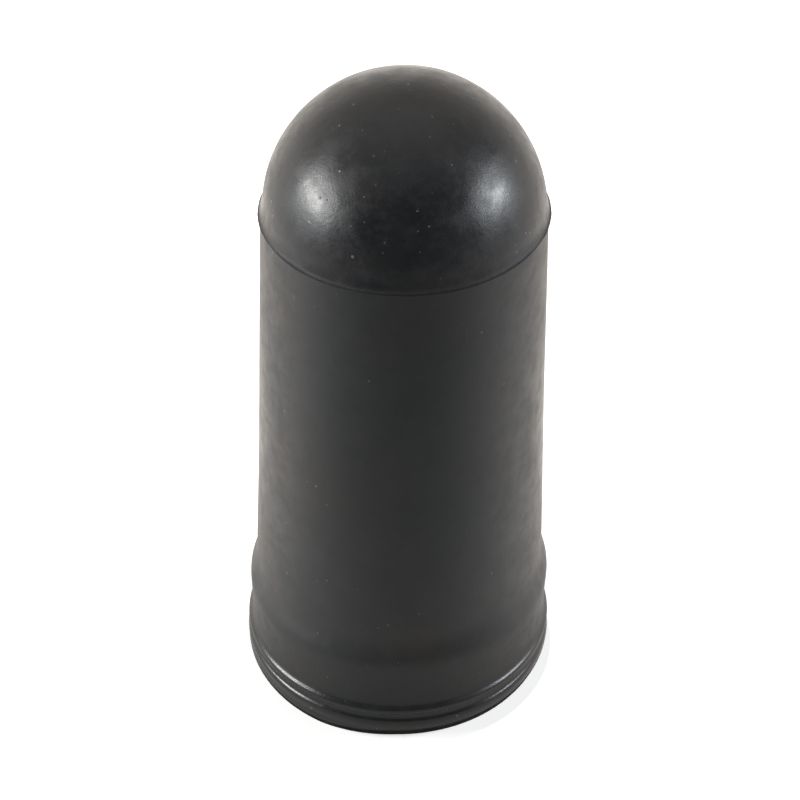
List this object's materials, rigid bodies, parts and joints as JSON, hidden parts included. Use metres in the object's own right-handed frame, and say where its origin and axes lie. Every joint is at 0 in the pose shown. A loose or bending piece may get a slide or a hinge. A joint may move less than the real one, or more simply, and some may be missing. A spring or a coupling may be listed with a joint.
{
  "type": "hitch pin lock",
  "caption": "Push-on lock head for a hitch pin under a domed black rubber weather boot, with a ball socket, a turning cam and a tubular pin tumbler cylinder.",
  "frame": {"origin": "centre of the boot's foot, on the axis of the hitch pin", "axes": "+Z along the pin's axis, up from the mouth to the crown of the dome; +X to the right locking ball; +Y to the key notch and the set screws"},
  "size_m": [0.043, 0.043, 0.0962],
  "materials": {
    "boot_rubber": "moulded black rubber, satin dome and matte sleeve",
    "seal_rubber": "matte black seal rubber",
    "body_steel": "turned zinc plated steel",
    "hard_steel": "ground hardened steel",
    "bright_steel": "bright plated steel",
    "brass": "turned brass"
  },
  "bodies": {
    "lock": {"lock_body": "body_steel", "boot_retaining_ring": "seal_rubber", "mouth_nut": "body_steel", "mouth_seal": "seal_rubber", "nut_set_screw": "hard_steel", "ball_cage": "hard_steel", "cam_thrust_washer": "brass", "cylinder_case": "bright_steel", "case_seal": "seal_rubber", "snap_ring": "hard_steel", "case_set_screw": "hard_steel", "stator": "brass", "stator_pin": "hard_steel", "tumbler_spring_1": "bright_steel", "tumbler_spring_2": "bright_steel", "tumbler_spring_3": "bright_steel", "tumbler_spring_4": "bright_steel", "tumbler_spring_5": "bright_steel", "tumbler_spring_6": "bright_steel", "tumbler_spring_7": "bright_steel"},
    "boot": {"weather_boot": "boot_rubber"},
    "rotor": {"spindle": "brass", "spindle_washer": "bright_steel", "spindle_nut": "bright_steel", "cam_cup": "hard_steel"},
    "ball_right": {"locking_ball_right": "bright_steel"},
    "ball_left": {"locking_ball_left": "bright_steel"},
    "key_pin_1": {"key_pin_1": "bright_steel"},
    "key_pin_2": {"key_pin_2": "bright_steel"},
    "key_pin_3": {"key_pin_3": "bright_steel"},
    "key_pin_4": {"key_pin_4": "bright_steel"},
    "key_pin_5": {"key_pin_5": "bright_steel"},
    "key_pin_6": {"key_pin_6": "bright_steel"},
    "key_pin_7": {"key_pin_7": "bright_steel"},
    "driver_pin_1": {"driver_pin_1": "bright_steel"},
    "driver_pin_2": {"driver_pin_2": "bright_steel"},
    "driver_pin_3": {"driver_pin_3": "bright_steel"},
    "driver_pin_4": {"driver_pin_4": "bright_steel"},
    "driver_pin_5": {"driver_pin_5": "bright_steel"},
    "driver_pin_6": {"driver_pin_6": "bright_steel"},
    "driver_pin_7": {"driver_pin_7": "bright_steel"}
  },
  "joints": [
    {"name": "boot_pull", "type": "slide", "parent": "lock", "child": "boot", "axis": [0, 0, 1], "range_m": [0, 0.095]},
    {"name": "key_turn", "type": "hinge", "parent": "lock", "child": "rotor", "pos_m": [0, 0, 0.0665], "axis": [0, 0, -1], "range_deg": [0, 90]},
    {"name": "ball_right_slide", "type": "slide", "parent": "lock", "child": "ball_right", "axis": [1, 0, 0], "range_m": [0, 0.0017]},
    {"name": "ball_left_slide", "type": "slide", "parent": "lock", "child": "ball_left", "axis": [-1, 0, 0], "range_m": [0, 0.0017]},
    {"name": "key_pin_1_slide", "type": "slide", "parent": "rotor", "child": "key_pin_1", "axis": [0, 0, 1], "range_m": [0, 0.0014]},
    {"name": "key_pin_2_slide", "type": "slide", "parent": "rotor", "child": "key_pin_2", "axis": [0, 0, 1], "range_m": [0, 0.0022]},
    {"name": "key_pin_3_slide", "type": "slide", "parent": "rotor", "child": "key_pin_3", "axis": [0, 0, 1], "range_m": [0, 0.0009]},
    {"name": "key_pin_4_slide", "type": "slide", "parent": "rotor", "child": "key_pin_4", "axis": [0, 0, 1], "range_m": [0, 0.0018]},
    {"name": "key_pin_5_slide", "type": "slide", "parent": "rotor", "child": "key_pin_5", "axis": [0, 0, 1], "range_m": [0, 0.0025]},
    {"name": "key_pin_6_slide", "type": "slide", "parent": "rotor", "child": "key_pin_6", "axis": [0, 0, 1], "range_m": [0, 0.0011]},
    {"name": "key_pin_7_slide", "type": "slide", "parent": "rotor", "child": "key_pin_7", "axis": [0, 0, 1], "range_m": [0, 0.0016]},
    {"name": "driver_pin_1_slide", "type": "slide", "parent": "lock", "child": "driver_pin_1", "axis": [0, 0, 1], "range_m": [-0.002, 0], "stiffness_N_per_m": 100, "springref_m": 0.002, "deforming": ["tumbler_spring_1"]},
    {"name": "driver_pin_2_slide", "type": "slide", "parent": "lock", "child": "driver_pin_2", "axis": [0, 0, 1], "range_m": [-0.002, 0], "stiffness_N_per_m": 100, "springref_m": 0.002, "deforming": ["tumbler_spring_2"]},
    {"name": "driver_pin_3_slide", "type": "slide", "parent": "lock", "child": "driver_pin_3", "axis": [0, 0, 1], "range_m": [-0.002, 0], "stiffness_N_per_m": 100, "springref_m": 0.002, "deforming": ["tumbler_spring_3"]},
    {"name": "driver_pin_4_slide", "type": "slide", "parent": "lock", "child": "driver_pin_4", "axis": [0, 0, 1], "range_m": [-0.002, 0], "stiffness_N_per_m": 100, "springref_m": 0.002, "deforming": ["tumbler_spring_4"]},
    {"name": "driver_pin_5_slide", "type": "slide", "parent": "lock", "child": "driver_pin_5", "axis": [0, 0, 1], "range_m": [-0.002, 0], "stiffness_N_per_m": 100, "springref_m": 0.002, "deforming": ["tumbler_spring_5"]},
    {"name": "driver_pin_6_slide", "type": "slide", "parent": "lock", "child": "driver_pin_6", "axis": [0, 0, 1], "range_m": [-0.002, 0], "stiffness_N_per_m": 100, "springref_m": 0.002, "deforming": ["tumbler_spring_6"]},
    {"name": "driver_pin_7_slide", "type": "slide", "parent": "lock", "child": "driver_pin_7", "axis": [0, 0, 1], "range_m": [-0.002, 0], "stiffness_N_per_m": 100, "springref_m": 0.002, "deforming": ["tumbler_spring_7"]}
  ],
  "couplings": [
    {"joint": "ball_right_slide", "follows": "key_turn", "m_per_rad": 0.0010821},
    {"joint": "ball_left_slide", "follows": "key_turn", "m_per_rad": 0.0010821}
  ]
}
